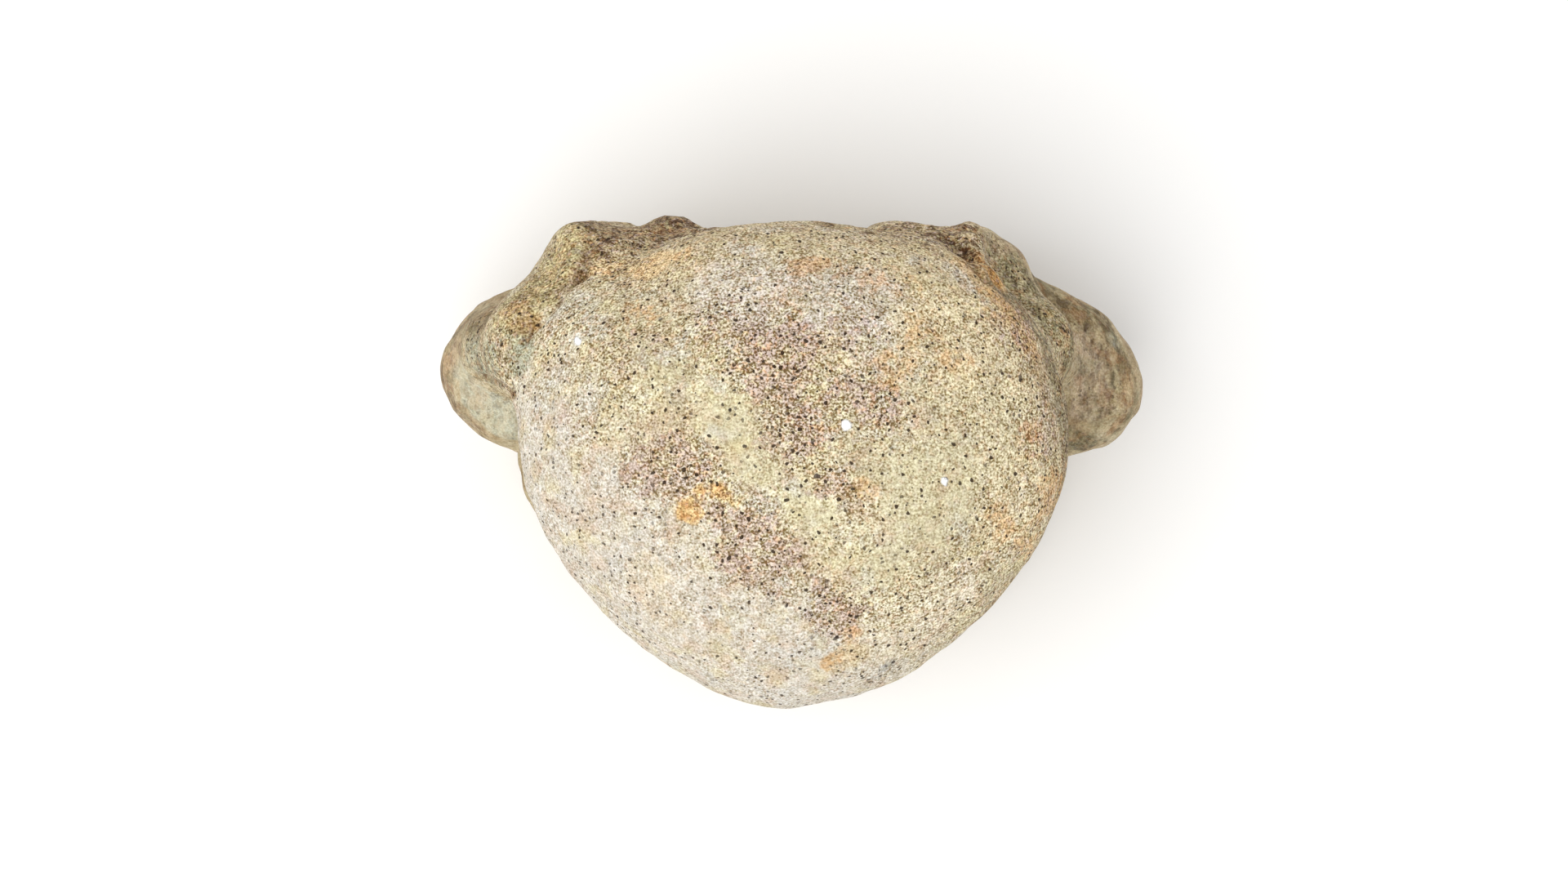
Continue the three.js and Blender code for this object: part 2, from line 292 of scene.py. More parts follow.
# Each term: a height in mm, and waves of a size in mm with a seed of their own.
relief = (
    (0.14 - 0.06 * ramp(z, 38, 50)) * waves(points, 5.5, 1)
    + 0.09 * waves(points, 2.6, 2)
    + 0.05 * waves(points, 1.4, 3)
    + (broken + 0.5 * shoulder) * (0.3 * waves(points, 3.6, 4) + 0.17 * waves(points, 1.9, 5))
    + broken * 0.25 * (crumbs - 0.5)
    + uneven * (0.16 * fibres + 0.3 * waves(points, 9.0, 22) + 0.12 * waves(points, 3.4, 23))
    + knob * (0.3 * waves(points, 4.2, 7) + 0.14 * waves(points, 1.9, 8))
    - sunken
)
points = points + normals * relief[:, None]
box_low, box_high = (np.array(corner) * METRE for corner in cad_box)
points = np.clip(points, box_low, box_high)
normals = point_normals(points, faces)

# ------------------------------------------------------------------ where each colour lies

LIGHT = 1.24  # how bright the studio light makes a white surface that faces the camera
SMOOTHINGS = 12  # rounds that give the smooth surface which hollows and crests are measured from


def linear(red, green, blue):
    """The linear colour of a surface that shows as these 0 to 255 values under the studio light."""
    parts = [((v / 255 + 0.055) / 1.055) ** 2.4 / LIGHT for v in (red, green, blue)]
    return [*parts, 1.0]


# Each list of round marks: place on the surface, radius, strength.
MAUVE = [
    ((-2.5, 13.5, 70), 6.5, 1.0), ((-0.5, 9.0, 71), 4.0, 0.6), ((0.9, 3.6, 71.4), 4.6, 1.0),
    ((6.5, 9.0, 70.8), 4.0, 0.6), ((11.3, 6.4, 70.3), 3.2, 0.8), ((4.7, -2.3, 71.2), 3.0, 0.9),
    ((-14.2, -0.8, 69.9), 5.0, 1.0), ((-18.5, -1.5, 68.5), 3.6, 0.7), ((-8.5, -5.4, 70.6), 3.0, 0.7),
    ((-4.0, -9.9, 70.3), 5.2, 0.95), ((-1.5, -14.0, 69), 3.6, 0.6), ((5.2, -18.7, 67.3), 4.6, 0.85),
    ((-27.5, 3.0, 64), 4.0, 0.3), ((-9.0, 17.5, 68), 4.5, 0.4), ((7.5, 17.0, 68), 4.0, 0.4),
    ((-20.5, 14.5, 66), 5.0, 0.35), ((31.5, 4.0, 61), 4.5, 0.5), ((28.0, 16.0, 60), 4.0, 0.45),
]
RUST = [
    ((0.9, 24.7, 64.0), 1.6, 0.85), ((3.2, 25.1, 63.8), 1.7, 0.9), ((6.3, 24.5, 64), 2.2, 0.6),
    ((9.8, 22.8, 65), 2.4, 0.5), ((14.5, 21.5, 64), 2.4, 0.45),
    ((-23.5, 24.2, 55.5), 1.9, 0.5), ((-19.0, 24.8, 57), 2.0, 0.42), ((-13.5, 25.4, 59), 1.8, 0.42),
    ((16.8, 15.6, 67.3), 3.6, 0.48), ((20.6, 12.6, 66.5), 3.0, 0.45), ((30.0, 3.0, 62.5), 3.4, 0.45),
    ((27.2, -8.4, 63.6), 2.6, 0.6),
    ((25.9, -6.0, 64.8), 2.2, 0.6), ((33.0, -3.5, 59.1), 4.5, 0.55), ((30.5, -10.0, 60), 4.0, 0.45),
    ((7.8, -21.7, 65.1), 1.5, 0.7), ((5.3, -25.1, 63.2), 1.6, 0.55), ((-0.5, 20, 67), 3.0, 0.5),
    ((4.0, 4.6, 71.2), 1.6, 0.6), ((-26.0, -21.0, 56), 3.0, 0.35), ((12.5, 11.5, 69), 3.0, 0.5),
    ((-19, 19, 64), 3.0, 0.45), ((24, 19, 60), 3.5, 0.5), ((9.5, -3.5, 71), 2.2, 0.5),
]
OCHRE = [
    ((-12.9, -5.6, 69.7), 1.9, 1.0), ((-11.6, -3.6, 70.1), 1.5, 0.9), ((-9.4, -3.5, 70.5), 1.5, 0.9),
    ((-7.8, -4.4, 70.7), 1.3, 0.85), ((-6.9, -5.0, 70.8), 0.9, 0.5),
]
CREAM = [
    ((-9, 6.9, 70.8), 4.5, 1), ((-4, 0.8, 71.3), 4.0, 1), ((2.1, -5.4, 70.9), 4.5, 1),
    ((17.4, -3.3, 69.4), 8.5, 0.9), ((10, -12, 70), 6, 0.8), ((-16, 9, 69), 6, 0.6),
]

# Soft stains, and painted shade, laid one over another: the colour that shows, strength, radius,
# path.
STAINS_AND_SHADE = [
    # the dome: greyer above, yellower on the right, warm below, and painted shade darkening its right
    # edge
    ((227, 218, 206), 0.6, 7.0, [(8, 20, 67), (-6, 22, 66)]),
    ((240, 224, 184), 0.66, 7.0, [(19, 16, 65), (27, 6, 64.5), (28, -6, 63)]),
    ((240, 228, 202), 0.62, 6.0, [(12, -22, 63.5), (20, -16, 62.5)]),
    ((230, 210, 172), 0.42, 4.2, [(-18.4, -14.0, 65.0), (-16.2, -18.4, 64.1)]),
    ((228, 204, 150), 0.46, 2.0, [(5.8, -25.2, 63.0), (8.2, -24.2, 63.4)]),
    ((172, 170, 166), 0.6, 1.5, [(12.1, -26.0, 59.8)]),
    ((176, 146, 108), 0.55, 1.9, [(27.5, 20.5, 59), (31.8, 14, 60.2), (34, 6, 60), (34.6, -2, 59)]),
    ((222, 212, 176), 0.45, 8.0, [(17.4, -3.3, 69.4), (12, -14, 68), (24, 4, 66.5)]),
    ((216, 172, 112), 0.55, 3.2, [(22.5, 25.0, 57.5), (26.5, 21.6, 58.6), (30, 16.5, 60)]),
    ((226, 200, 158), 0.4, 3.0, [(-20, 24, 60), (-12, 25.5, 61)]),
    ((150, 132, 98), 0.5, 2.2, [(35.4, 1, 56), (35.2, -5, 55)]),
    # painted shade along the right rim of the dome
    ((112, 92, 66), 0.75, 1.7, [
        (26.0, 22.6, 57.4), (28.5, 20.6, 56.8), (30.7, 18.2, 55.9), (32.5, 15.4, 55.1),
        (33.5, 12.5, 55.7), (34.5, 9.1, 55.7), (35.5, 5.6, 54.5), (35.6, 1.0, 54.5),
    ]),
    # left: the buttress, its shoulder, the ridge down to the knob, and the knob
    ((214, 199, 143), 0.8, 4.2, [(-27.5, 29.5, 47), (-30.6, 25, 50.9), (-34.5, 19, 53)]),
    # brown bone on the top edge of the left stump, darkened as painted shade where it faces away from
    # the light
    ((92, 62, 32), 0.95, 3.0, [
        (-26, 31.4, 45.4), (-22.9, 31, 44), (-18.6, 31, 44.4), (-15.5, 32, 42.4), (-11.6, 31, 45),
    ]),
    ((126, 92, 54), 0.8, 2.0, [(-25.5, 30, 47), (-19.3, 29.8, 47), (-14.3, 30, 47)]),
    ((128, 94, 54), 0.75, 1.9, [(-23.5, 30, 47), (-25.0, 27.5, 51)]),
    ((246, 212, 158), 0.8, 2.6, [(-24.0, 25.5, 53.8), (-20.4, 25.4, 54.7), (-17.6, 25.3, 57.9)]),
    ((160, 122, 78), 0.8, 1.2, [(-26.3, 27, 51.5), (-27.4, 24, 54)]),
    ((179, 181, 156), 0.9, 3.6, [(-35.5, 14, 56), (-39.4, 12.6, 48), (-42, 13.4, 40.5)]),
    ((172, 126, 58), 0.75, 1.5, [(-35.0, 17.2, 55.3), (-33.4, 17.8, 56.6)]),
    ((176, 140, 86), 0.55, 1.6, [(-36.2, 19.4, 53.2), (-33.6, 22.6, 52.9)]),
    # painted shadow on the top of the left knob
    ((124, 106, 72), 0.6, 4.0, [(-38.6, 20.4, 43), (-42.0, 19, 37), (-45, 17.6, 30)]),
    ((168, 140, 112), 0.6, 2.0, [(-44.4, 15.4, 34), (-46.6, 11.5, 29.5), (-46.0, 6.5, 27)]),
    ((177, 158, 130), 0.9, 4.2, [(-43.5, 19.5, 26), (-46.5, 13, 28), (-44.5, 4, 24)]),
    ((200, 168, 124), 0.7, 1.2, [(-46.6, 15.4, 28.6), (-47.0, 13.0, 28.6)]),
    ((190, 158, 134), 0.6, 1.0, [(-45.0, 17.0, 31.5), (-45.2, 13.6, 31.5)]),
    ((213, 212, 188), 1.0, 2.9, [
        (-43.0, 11.0, 33.2), (-41.8, 6.6, 32), (-38.4, 4.2, 31.8), (-36, 2, 33),
    ]),
    ((212, 213, 192), 0.9, 2.8, [(-39.9, 8.6, 33.6), (-37.6, 5.6, 32.6)]),
    # painted shadow under the edge of the flange, along its crease
    ((118, 104, 74), 0.8, 0.8, [
        (-41.8, 11.2, 37), (-39.6, 10.4, 44), (-37.8, 9.6, 50), (-35.8, 8.7, 54.5),
    ]),
    ((132, 106, 76), 0.7, 1.0, [(-44.4, 3.2, 27), (-42.2, 1.0, 27)]),
    ((134, 100, 66), 0.6, 0.8, [(-45.6, 7.6, 30.2), (-44.0, 5.9, 29.6), (-42.6, 4.4, 28.4)]),
    # right: the band under the rim, greenish and darkened by painted shade, the shoulder, and the
    # knob
    ((136, 122, 92), 0.7, 2.2, [(27, 23.2, 56.6), (32.6, 16, 55), (34.8, 8, 57), (35.4, 1, 56)]),
    ((150, 140, 102), 0.85, 3.6, [(28, 27, 43), (34, 18, 48), (36.7, 13, 44), (37, 6, 40)]),
    # brown bone on the top of the right stump, darkened as painted shade where it faces away from the
    # light
    ((148, 120, 84), 0.85, 2.4, [(19.2, 29.2, 50), (21, 30.6, 46), (24.5, 29.8, 46)]),
    ((218, 150, 40), 0.95, 2.3, [(24.2, 26.4, 53.6), (26.4, 24, 55)]),
    # painted shade in the pit beside the orange patch
    ((86, 58, 14), 0.95, 1.6, [(20.6, 28.4, 50.8), (22.4, 27.1, 52)]),
    ((194, 164, 96), 0.7, 1.2, [(33.5, 19.6, 48)]),
    ((150, 124, 100), 0.7, 1.5, [(27.4, 28.2, 42.6), (29.6, 28.6, 38)]),
    # olive bone on the top of the right knob, darkened as painted shade
    ((128, 112, 76), 0.95, 3.4, [(34, 24, 34), (38.5, 20.3, 33.2), (41.6, 19, 30)]),
    ((206, 184, 156), 1.0, 3.0, [(39.2, 14.6, 35), (40.2, 11, 34.6), (40.2, 7.6, 33.9)]),
    ((166, 150, 132), 0.7, 1.2, [(41.6, 14, 34.1), (42.3, 9, 33.2)]),
    # painted shade in the crease along the right knob
    ((100, 82, 58), 0.75, 0.5, [
        (38.9, 18.4, 34.6), (40.6, 16.6, 34.2), (42.6, 13.4, 33.4), (43.3, 10.1, 33.1),
        (42.9, 6.6, 32.8),
    ]),
    # olive bone along the outer edge of the right knob, darkened as painted shade
    ((132, 118, 86), 0.75, 1.7, [(43.0, 16, 32), (45.0, 12, 31.3), (45.9, 8, 30), (44.6, 3.6, 29.6)]),
    ((148, 150, 136), 0.7, 1.3, [(43.4, 16.3, 31.7)]),
    ((182, 138, 92), 0.65, 1.3, [(44.7, 13.0, 31.7), (45.4, 9.8, 31.4)]),
    ((140, 112, 78), 0.7, 1.6, [(46, 7.6, 29), (44.6, 8.4, 31.6)]),
    ((182, 140, 96), 0.65, 1.2, [(44.4, 6.0, 31.4), (43.6, 3.6, 31.0)]),
    # olive bone on the underside of the right knob, darkened as painted shade
    ((116, 110, 80), 0.95, 2.8, [(37.6, 2.4, 31), (41.0, 1.6, 28.6)]),
]

# How the surface lies around each point, and the noise that warps the edges of all marks.
hollow = hollows(points, faces, normals, SMOOTHINGS)
# painted shade: darker the deeper a point lies in a hollow
hollow_shade = ramp(hollow, 0.06, 0.5)
worn = ramp(-hollow, 0.04, 0.3)
rough = 0.3 * wide + 0.34 * middle + 0.3 * fine
mauve = spots(points, MAUVE, rough)
rust = spots(points, RUST, rough)
ochre = spots(points, OCHRE, 0.8 * rough)
cream = spots(points, CREAM, rough)
stain_and_shade_colour = painted(points, STAINS_AND_SHADE, 0.8 * rough)

# A light stripe just inside the left edge of the joint face, and the smooth part of the left knob.
CREST = [(-28.4, 15, 62.5), (-29.4, 10, 62.5), (-29.6, 3, 62.3)]
CREST_WIDTH = 2.6
SMOOTH_KNOB = [(-43, 11, 33), (-41.5, 6, 32), (-38, 4, 32), (-36, 2, 33)]
SMOOTH_REACH = 4.5, 2  # how far from the path the smooth part ends, and how far it is whole
CRUMBLY_END = 49.5, 54  # z, the rear end of the crumbly part of the left shoulder

crest = np.clip(1 - path_distance(points, CREST) / CREST_WIDTH, 0, 1)
ends, whole = SMOOTH_REACH
polished = ramp(-path_distance(points, SMOOTH_KNOB), -ends, -whole)
# The dry, pale skin at the lower left of the joint face, and where it spills over the edge.
lower_left = ramp(-x - 1.25 * y + 5 * wide, 6, 32)
spill = lower_left * ramp(z + 5 * middle + 2 * fine, 44, 58)
dry = lower_left * face
rearward = ramp(z + 6 * middle + 4 * wide, 30, 54)
face_grain = face * (0.74 + 0.42 * mauve - 0.34 * cream + 0.2 * middle) * (1 - 0.46 * dry)
flank_grain = 0.25 + 0.6 * rearward + broken * (0.15 + 0.35 * rearward) + 0.3 * shoulder
grain_share = (1 - 0.2 * crest) * face_grain + (1 - face) * (1 - 0.3 * polished) * flank_grain
crumbly = shoulder * (1 - ramp(z, *CRUMBLY_END) * (x < 0))

# What the material reads at each point. The parts with "hidden" colour what the photo hides.
hidden_mauve = hidden * ramp(wide + 0.5 * middle, 0.2, 0.8) * 0.8
hidden_rust = hidden * ramp(middle - 0.6 * wide, 0.35, 0.9) * 0.7
hidden_cream = hidden * ramp(-wide - 0.5 * middle, 0.0, 0.7)
rubble_dirt = broken * (0.25 + 0.15 * rearward + 0.5 * fine + 0.3 * middle)
crumbly_dirt = 0.3 * crumbly * (1 + 2 * fine)
masks = {
    "mauve": np.maximum(mauve, hidden_mauve) * (1 - ochre),
    "rust": np.maximum(rust, hidden_rust),
    "ochre": ochre,
    "cream": np.clip(cream + hidden_cream + 0.6 * worn * hidden, 0, 1),
    # dirt on the rubble and the shoulders, and painted shade in hollows, furrows and pits
    "dirt_and_shade": np.clip(rubble_dirt + crumbly_dirt + (0.35 + 0.45 * hidden) * hollow_shade
                    + 1.2 * np.clip(sunken, 0, 1), 0, 1),
    "flank": np.clip(flank * (1 - 0.75 * spill), 0, 1),
    "below": (1 - face) * (1 - 0.4 * polished),  # how mottled the stains are
    "rubble": np.clip(0.9 * broken * rearward + 0.9 * crumbly, 0, 1),
    "dry": np.clip(np.maximum(dry, 0.85 * spill) + 0.55 * crest, 0, 1),
    "grit": np.clip(grain_share, 0, 1.3),
    "brown": np.clip(0.8 * ramp(x + 0.7 * y, 18, 54) + 0.7 * ramp(y, 19, 31) + 0.4 * shoulder, 0, 1),
}

bone_mesh = bpy.data.meshes.new("fossil_bone")
bone_mesh.from_pydata((points / METRE).tolist(), [], faces.tolist())
bone_mesh.polygons.foreach_set("use_smooth", np.ones(len(faces), bool))
for name, values in masks.items():
    attribute = bone_mesh.attributes.new(name, "FLOAT", "POINT")
    attribute.data.foreach_set("value", values.astype(np.float32))
attribute = bone_mesh.attributes.new("tint", "FLOAT_COLOR", "POINT")
attribute.data.foreach_set("color", stain_and_shade_colour.ravel().astype(np.float32))
bone_mesh.update()
bone = bpy.data.objects.new("fossil_bone", bone_mesh)
bpy.context.scene.collection.objects.link(bone)

# ------------------------------------------------------------------ the bone's material


class Nodes:
    """Short calls that add nodes to one material."""

    def __init__(self, name):
        self.material = bpy.data.materials.new(name)
        self.material.use_nodes = True
        self.tree = self.material.node_tree
        self.shader = self.tree.nodes["Principled BSDF"]

    def put(self, value, socket):
        if isinstance(value, bpy.types.NodeSocket):
            self.tree.links.new(value, socket)
        else:
            socket.default_value = value

    def add(self, kind, inputs, **settings):
        node = self.tree.nodes.new("ShaderNode" + kind)
        for key, value in settings.items():
            setattr(node, key, value)
        for key, value in inputs.items():
            self.put(value, node.inputs[key])
        return node

    def calc(self, operation, *values, clamp=False):
        inputs = dict(enumerate(values))
        return self.add("Math", inputs, operation=operation, use_clamp=clamp).outputs[0]

    def vector(self, operation, a, b):
        return self.add("VectorMath", {0: a, 1: b}, operation=operation)

    def mix(self, share, a, b, blend="MIX"):
        inputs = {0: share, 6: a, 7: b}
        return self.add("Mix", inputs, data_type="RGBA", blend_type=blend).outputs[2]

    def step(self, value, low, high, to_low=0.0, to_high=1.0):
        """A smooth step: to_low where the value is low, to_high where it is high."""
        inputs = {"Value": value, "From Min": low, "From Max": high}
        inputs |= {"To Min": to_low, "To Max": to_high}
        return self.add("MapRange", inputs, interpolation_type="SMOOTHSTEP").outputs[0]

    def mask(self, name):
        return self.add("Attribute", {}, attribute_name=name).outputs["Fac"]

    def noise(self, at, size, detail):
        """Noise with lumps of about the given size in mm."""
        return self.add("TexNoise", {"Vector": at, "Scale": 1 / size, "Detail": detail})

    def noises(self, at, size, detail):
        """Three noises that differ, from the channels of one."""
        colour = self.noise(at, size, detail).outputs["Color"]
        return self.add("SeparateColor", {0: colour}).outputs

    def voronoi(self, at, size):
        return self.add("TexVoronoi", {"Vector": at, "Scale": 1 / size})

    def bands(self, value, stops):
        node = self.add("ValToRGB", {0: value})
        elements = node.color_ramp.elements
        for _ in range(len(stops) - 2):
            elements.new(0.5)
        for element, (at, colour) in zip(elements, stops):
            element.position, element.color = at, linear(*colour)
        return node.outputs[0]


BEND = 0.9  # how far noise pushes the pores out of their regular places, in mm
BEND_MEAN = 0.36  # about how far it pushes them on average, along each axis

n = Nodes("weathered_bone")
metres = n.add("TexCoord", {}).outputs["Object"]
position = n.vector("MULTIPLY", metres, (METRE,) * 3).outputs[0]
sway = n.noise(position, size=1.1, detail=3.0).outputs["Color"]
bent = n.vector("ADD", position, n.vector("MULTIPLY", sway, (BEND,) * 3).outputs[0]).outputs[0]

speckle = n.noise(position, size=0.8, detail=4.0).outputs[0]
patchy = n.noise(position, size=2.6, detail=4.0).outputs[0]
clouds = n.noises(position, size=3.6, detail=4.0)
blotch = n.noise(position, size=9.0, detail=3.0).outputs[0]


def times(*values):
    product = values[0]
    for value in values[1:]:
        product = n.calc("MULTIPLY", product, value)
    return product


def plus(*values):
    total = values[0]
    for value in values[1:]:
        total = n.calc("ADD", total, value)
    return total


def swing(value, reach):
    """A noise value made to swing about 0."""
    return times(n.calc("SUBTRACT", value, 0.5), reach)


def edge(name, soft=0.3):
    """A mask whose edge is broken up by fine noise."""
    lifted = plus(n.mask(name), swing(speckle, 1.5), swing(patchy, 1.5))
    return times(n.step(lifted, 0.5 - soft, 0.5 + soft), n.step(n.mask(name), 0.0, 0.25))


def scaled(colour, factors):
    return n.mix(1.0, colour, (*factors, 1), "MULTIPLY")


def over(colour, tints, *share):
    """Tints laid over a colour: the noise each follows, where it starts and is full, most, colour."""
    for value, start, full, most, shown in tints:
        colour = n.mix(times(n.step(value, start, full, 0.0, most), *share), colour, linear(*shown))
    return colour


# The joint face: cream bone, browner at the upper right, dry and pale at the lower left.
colour = n.bands(blotch, [(0.3, (212, 198, 160)), (0.5, (217, 205, 171)), (0.7, (217, 204, 175))])
colour = n.mix(times(n.mask("brown"), 0.6), colour, linear(216, 192, 152))
colour = n.mix(times(edge("cream"), 0.85), colour, linear(230, 221, 183))
colour = n.mix(n.mask("dry"), colour, linear(225, 217, 202))
colour = over(colour, [
    (clouds[0], 0.5, 0.7, 0.45, (228, 213, 158)),
    (clouds[1], 0.5, 0.68, 0.5, (216, 213, 204)),
    (clouds[2], 0.5, 0.7, 0.45, (214, 182, 152)),
])

# The flanks: weathered outer bone, streaked along its length, with the stains and the painted shade
# laid over it.
along = n.vector("MULTIPLY", position, (0.8, 0.8, 0.14)).outputs[0]
fibre = n.noise(along, size=1.0, detail=4.0).outputs[0]
streaks = n.vector("MULTIPLY", position, (0.55, 0.22, 0.3)).outputs[0]
streaky = n.noise(streaks, size=1.0, detail=4.0).outputs[0]
mottle = plus(times(streaky, 0.45), times(patchy, 0.35), times(blotch, 0.2))
outer = plus(times(fibre, 0.3), times(mottle, 0.3), times(blotch, 0.4))
tan_bone = n.bands(outer, [
    (0.38, (168, 146, 106)), (0.46, (196, 178, 138)),
    (0.53, (207, 192, 154)), (0.6, (216, 204, 172)),
])
brown_bone = n.bands(outer, [
    (0.38, (150, 124, 88)), (0.46, (186, 160, 122)),
    (0.53, (200, 178, 140)), (0.6, (206, 192, 160)),
])
flank_colour = n.mix(n.step(clouds[1], 0.42, 0.6), tan_bone, brown_bone)
stains_and_shade = n.add("Attribute", {}, attribute_name="tint").outputs
torn = plus(stains_and_shade["Alpha"], swing(speckle, 0.5), swing(patchy, 0.5))
cover = n.step(torn, 0.15, 0.85, 0.0, 0.9)
colour = n.mix(times(n.mask("flank"), 0.92), colour, flank_colour)
colour = n.mix(cover, colour, stains_and_shade["Color"])
mottled = plus(times(n.mask("below"), 0.7), 0.1)
mottle_share = n.calc("MAXIMUM", times(n.mask("flank"), 0.25), times(cover, mottled))
crisp = n.noise(streaks, size=0.45, detail=4.0).outputs[0]
colour = over(colour, [
    (mottle, 0.49, 0.56, 0.6, (220, 196, 154)),
    (mottle, 0.49, 0.42, 0.7, (104, 82, 54)),
    (crisp, 0.51, 0.56, 0.42, (216, 198, 156)),
    (crisp, 0.48, 0.43, 0.5, (96, 74, 44)),
    (clouds[2], 0.52, 0.6, 0.34, (198, 140, 88)),
    (clouds[0], 0.52, 0.6, 0.34, (140, 142, 106)),
], mottle_share)

# Mauve, rust and ochre patches, dirt on the broken parts, and painted shade in whatever lies low.
mauve_share = times(edge("mauve"), n.step(patchy, 0.4, 0.58, 0.3, 0.72))
colour = n.mix(mauve_share, colour, linear(182, 154, 141))
colour = n.mix(times(edge("rust"), 0.6), colour, linear(216, 162, 98))
orange = n.mix(n.step(speckle, 0.44, 0.58), linear(204, 142, 62), linear(232, 190, 122))
colour = n.mix(times(edge("ochre", 0.4), 0.85), colour, orange)
# dark brown: dirt on the rubble, and painted shade in hollows, furrows and pits
colour = n.mix(times(edge("dirt_and_shade"), 0.75), colour, linear(112, 76, 34))

# Sandy grain: cream granules with brown gaps between them.
PALER = 1.8, 1.88, 2.06  # what a granule does to the colour under it
DARKER = 0.28, 0.19, 0.04  # what a gap does to it
grit = n.mask("grit")
grain = n.noise(position, size=0.29, detail=1.6).outputs[0]
sand = n.noise(position, size=1.1, detail=3.0).outputs[0]
tinge = n.noises(position, size=0.7, detail=2.0)
colour = over(colour, [
    (tinge[0], 0.53, 0.64, 0.44, (206, 148, 90)),
    (tinge[1], 0.53, 0.64, 0.44, (184, 164, 158)),
    (tinge[2], 0.53, 0.64, 0.3, (226, 218, 156)),
], grit)
lift = plus(times(swing(grain, 6.8), grit), times(swing(sand, 2.4), plus(times(grit, 0.7), 0.2)))
lift = plus(lift, times(swing(patchy, 1.0), grit))
granule = n.mix(0.12, scaled(colour, PALER), linear(250, 244, 226))
colour = n.mix(n.calc("MULTIPLY", lift, 0.9, clamp=True), colour, granule)
drop = n.calc("MINIMUM", n.calc("MULTIPLY", lift, -1.0, clamp=True), 0.9)
colour = n.mix(drop, colour, scaled(colour, DARKER))

# Rubble: pale crumbs between dark crevices where the bone broke.
rubble = n.mask("rubble")
crumb = n.noise(position, size=1.0, detail=3.0).outputs[0]
colour = n.mix(times(n.step(crumb, 0.47, 0.38), rubble, 0.7), colour, linear(80, 44, 16))
colour = n.mix(times(n.step(crumb, 0.53, 0.62), rubble, 0.6), colour, linear(236, 208, 160))

# Pores: one in each cell of a pattern, of differing size and strength.
PORE_SPACING = 0.8  # mm
PORE_RADIUS = 0.05, 0.3  # the smallest and the largest, as shares of the spacing
PORE_EDGE = 0.7, 1.15  # a pore fades between these shares of its radius
pore_cells = n.voronoi(bent, PORE_SPACING)
pore_pick = n.add("SeparateColor", {0: pore_cells.outputs["Color"]}).outputs
pore_size = plus(n.step(pore_pick[0], 0.1, 1.0, *PORE_RADIUS), times(n.mask("mauve"), 0.04))
pore_edge = (times(pore_size, share) for share in PORE_EDGE)
pores = n.step(pore_cells.outputs[0], *pore_edge, 1.0, 0.0)
pore_strength = n.step(pore_pick[1], 0.0, 0.6, 0.5, 1.0)
pore_grit = times(plus(0.7, times(grit, 0.6)), n.step(grit, 0.15, 0.48, 0.15, 1.0))
pore_share = times(pores, pore_strength, pore_grit)
colour = n.mix(n.calc("MINIMUM", pore_share, 0.95), colour, linear(54, 34, 10))

# Three clear quartz grains painted white as highlights, and a few larger dark holes in the joint
# face: place, radius.
GLINTS = [((-27.0, 15.5, 62.6), 0.62), ((6.9, 4.9, 70.8), 0.7), ((19.2, -2.2, 68.9), 0.58)]
HOLES = [
    ((-4.9, 6.6, 71.2), 0.2), ((-5.7, 2.3, 71.5), 0.22), ((-7.0, 9.2, 70.7), 0.18),
    ((3.3, -1.5, 71.3), 0.32), ((-7.6, 6.7, 71.1), 0.2), ((-6.9, 6.2, 71.2), 0.2),
    ((5.8, -21.9, 65.4), 0.3), ((13.1, -25.3, 59.9), 0.3),
]
DOT_EDGE = 0.7, 1.2  # such a mark fades between these shares of its radius


def dots(marks):
    """1 inside any of a list of small round marks with uneven edges, and 0 outside them."""
    inside = 0.0
    for at, radius in marks:
        centre = [v + BEND_MEAN for v in at]
        far = n.vector("DISTANCE", bent, centre).outputs["Value"]
        fade = (radius * share for share in DOT_EDGE)
        inside = n.calc("MAXIMUM", n.step(far, *fade, 1.0, 0.0), inside)
    return inside


holes = dots(HOLES)
glints = dots(GLINTS)
colour = n.mix(times(holes, 0.85), colour, linear(60, 44, 36))
# painted highlights: pure white on the three quartz grains
colour = n.mix(times(glints, 0.95), colour, (1.0, 1.0, 1.0, 1.0))

# The fine relief that only the light sees, in mm, and how rough the bone is.
ROUGHNESS = 0.78, 0.95
GLINT_SMOOTHNESS = 0.5
SPECULAR = 0.3
bumps = plus(times(grain, plus(times(grit, 0.1), 0.02)), times(speckle, 0.12), times(sand, 0.1))
bumps = plus(bumps, times(fibre, n.mask("flank"), 0.5), times(crumb, rubble, 0.7))
carving = plus(times(pores, 0.1), times(holes, 0.3), times(glints, -0.2))
bumps = n.calc("SUBTRACT", bumps, carving)
bump = n.add("Bump", {"Height": bumps, "Strength": 1.0, "Distance": 1 / METRE})
roughness = n.step(speckle, 0.3, 0.7, *ROUGHNESS)
roughness = n.calc("SUBTRACT", roughness, times(glints, GLINT_SMOOTHNESS))

n.put(colour, n.shader.inputs["Base Color"])
n.put(roughness, n.shader.inputs["Roughness"])
n.put(bump.outputs[0], n.shader.inputs["Normal"])
n.shader.inputs["Specular IOR Level"].default_value = SPECULAR
bone_mesh.materials.append(n.material)

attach(bone, "root")
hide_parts(NODE)

# ------------------------------------------------------------------ floor, light and camera

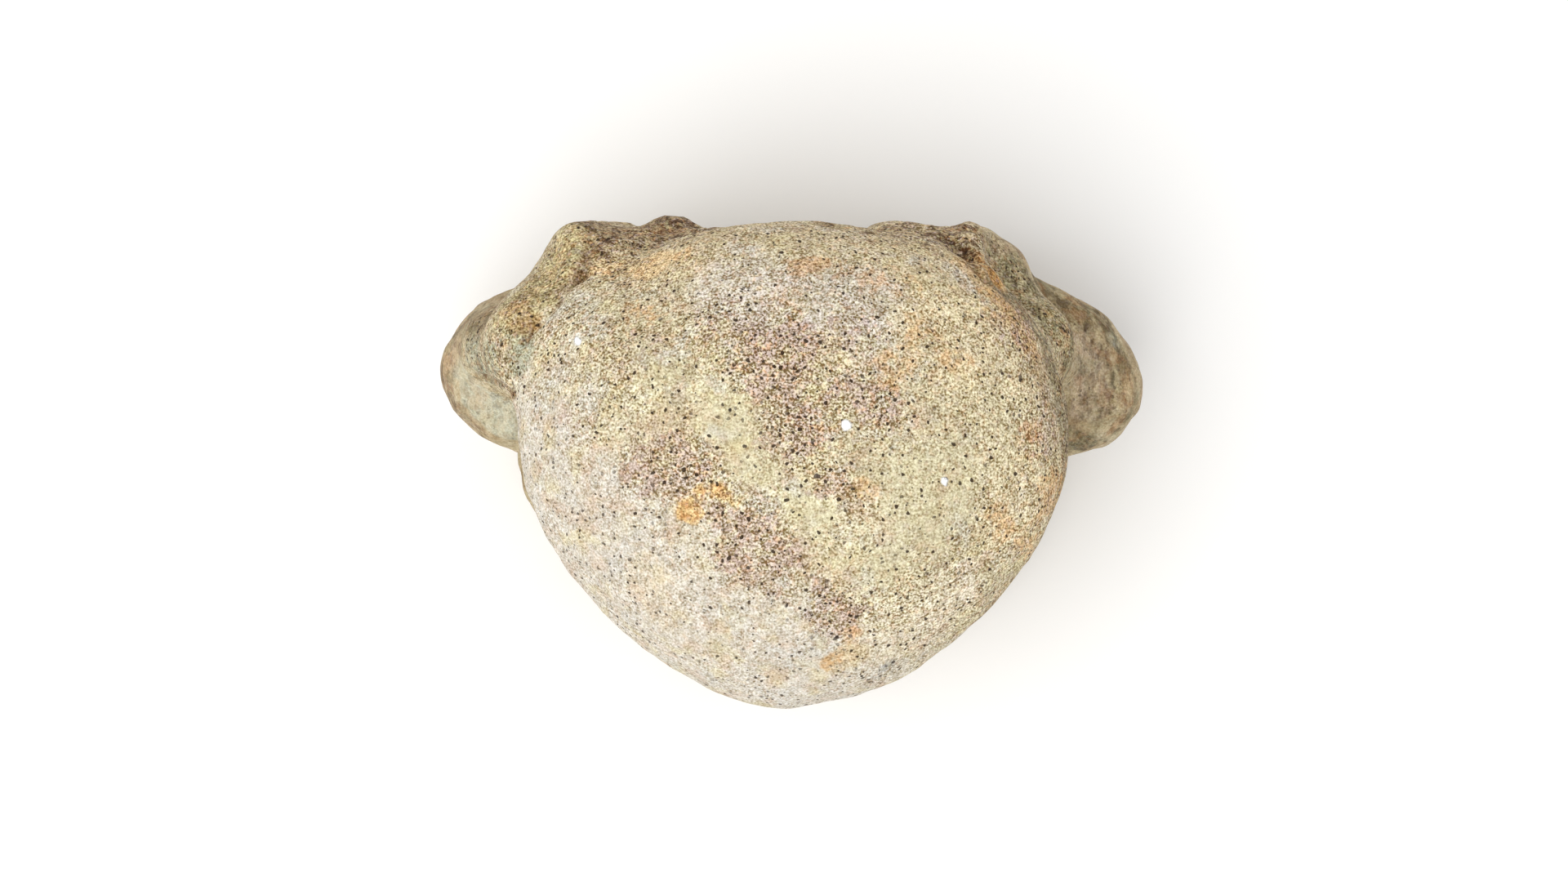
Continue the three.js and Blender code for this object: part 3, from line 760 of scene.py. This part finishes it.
# These are in metres, but for the lens and the sensor, which are in mm.
FLOOR_WIDTH = 8.0
FLOOR_LEVEL = -0.0001  # a little below the bone, so that the two never share a surface
FLOOR_WHITE = 0.95
FLOOR_ROUGHNESS = 0.9
WORLD_STRENGTH = 0.75
CAMERA_PLACE = -0.000927, 0.002767, 0.558  # it looks straight down
CLIP_START = 0.01
LENS = 89.74
SENSOR_WIDTH = 36


def plane(name, width, level):
    s = width / 2
    corners = [(-s, -s, level), (s, -s, level), (s, s, level), (-s, s, level)]
    m = bpy.data.meshes.new(name)
    m.from_pydata(corners, [], [(0, 1, 2, 3)])
    made = bpy.data.objects.new(name, m)
    bpy.context.scene.collection.objects.link(made)
    return made


floor = plane("studio_floor", FLOOR_WIDTH, FLOOR_LEVEL)
floor_material = bpy.data.materials.new("pale_floor")
floor_material.use_nodes = True
floor_shader = floor_material.node_tree.nodes["Principled BSDF"]
floor_shader.inputs["Base Color"].default_value = (FLOOR_WHITE, FLOOR_WHITE, FLOOR_WHITE, 1)
floor_shader.inputs["Roughness"].default_value = FLOOR_ROUGHNESS
floor.data.materials.append(floor_material)


def area_light(name, place, aim, size, power, colour):
    data = bpy.data.lights.new(name, "AREA")
    data.shape = "DISK"
    data.size = size
    data.energy = power
    data.color = colour
    lamp = bpy.data.objects.new(name, data)
    lamp.location = place
    lamp.rotation_euler = (Vector(aim) - Vector(place)).to_track_quat("-Z", "Y").to_euler()
    lamp.visible_camera = False
    bpy.context.scene.collection.objects.link(lamp)


area_light(
    "key_light", place=(-0.36, -0.28, 1.1), aim=(0, 0, 0.04),
    size=1.0, power=8.4, colour=(1, 0.99, 0.96),
)
world = bpy.data.worlds.new("studio")
world.use_nodes = True
world.node_tree.nodes["Background"].inputs["Color"].default_value = (1, 1, 1, 1)
world.node_tree.nodes["Background"].inputs["Strength"].default_value = WORLD_STRENGTH
bpy.context.scene.world = world
bpy.context.scene.view_settings.view_transform = "Standard"

camera_data = bpy.data.cameras.new("camera")
camera_data.lens = LENS
camera_data.sensor_width = SENSOR_WIDTH
camera_data.clip_start = CLIP_START
camera = bpy.data.objects.new("camera", camera_data)
camera.location = CAMERA_PLACE
bpy.context.scene.collection.objects.link(camera)
bpy.context.scene.camera = camera
